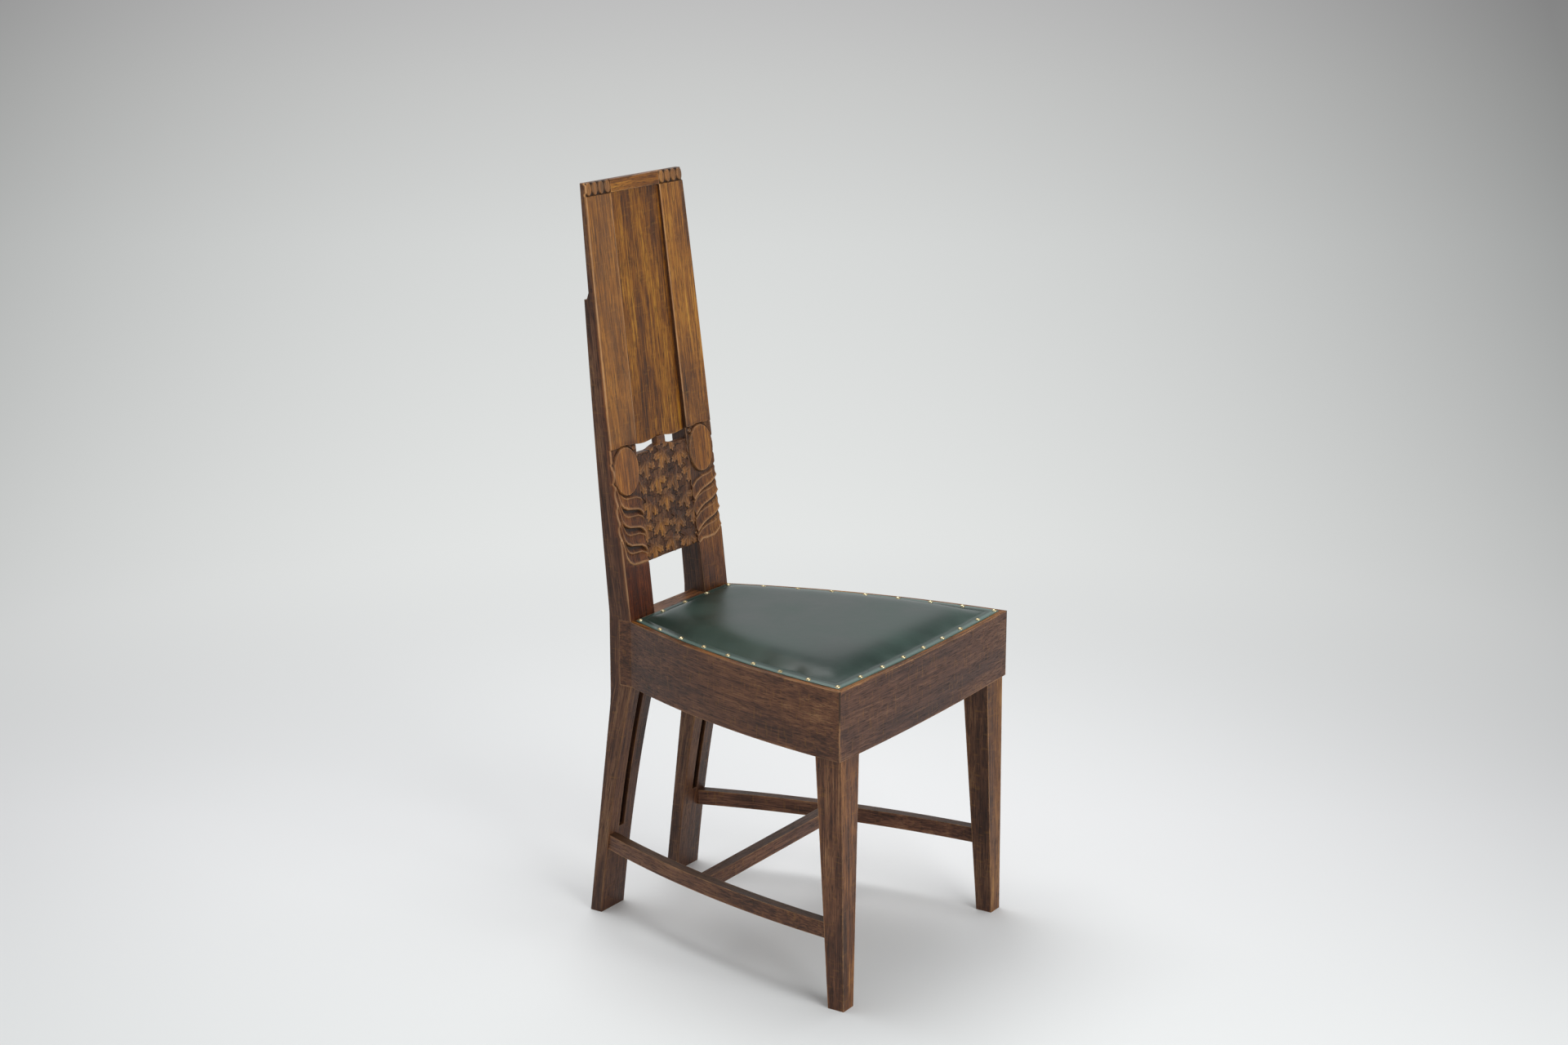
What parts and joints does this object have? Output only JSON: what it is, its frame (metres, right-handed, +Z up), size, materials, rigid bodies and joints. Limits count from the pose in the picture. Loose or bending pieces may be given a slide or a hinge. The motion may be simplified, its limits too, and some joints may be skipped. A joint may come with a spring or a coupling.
{
  "type": "wainscot chair",
  "caption": "High-backed oak side chair with close-set stiles round a tall narrow panel and a carved splat, a tapering nailed leather seat and bowed stretchers.",
  "frame": {"origin": "middle of the bounding box, on the floor", "axes": "+Z up, -Y the way the sitter faces, +X to the right of a person who stands in front of the chair and looks at it"},
  "size_m": [0.4554, 0.5114, 1.0824],
  "materials": {
    "oak_brown": "fumed oak, waxed, with worn edges",
    "oak_warm": "fumed oak, waxed, lighter and warmer",
    "oak_carved": "carved oak, waxed, dark in the hollows",
    "pale_wood": "unpolished beech",
    "screw_steel": "dull steel",
    "jute_webbing": "woven jute webbing",
    "jute_hessian": "woven hessian",
    "hair_stuffing": "matted hair",
    "green_leather": "smooth dark green hide, half gloss",
    "nail_brass": "aged brass"
  },
  "bodies": {
    "root": {"post_left": "oak_brown", "post_right": "oak_brown", "leg_front_left": "oak_brown", "leg_front_right": "oak_brown", "stretcher_left": "oak_brown", "stretcher_right": "oak_brown", "stretcher_cross": "oak_brown", "crest_rail": "oak_warm", "back_panel": "oak_warm", "carved_splat": "oak_carved", "seat_rail_front": "oak_brown", "seat_rail_rear": "oak_brown", "seat_rail_left": "oak_brown", "seat_rail_right": "oak_brown", "corner_block_front_left": "pale_wood", "corner_block_front_right": "pale_wood", "corner_block_rear_left": "pale_wood", "corner_block_rear_right": "pale_wood", "corner_block_screws": "screw_steel", "seat_webbing": "jute_webbing", "seat_hessian": "jute_hessian", "seat_stuffing": "hair_stuffing", "leather_cover": "green_leather", "brass_nails": "nail_brass"}
  },
  "joints": []
}
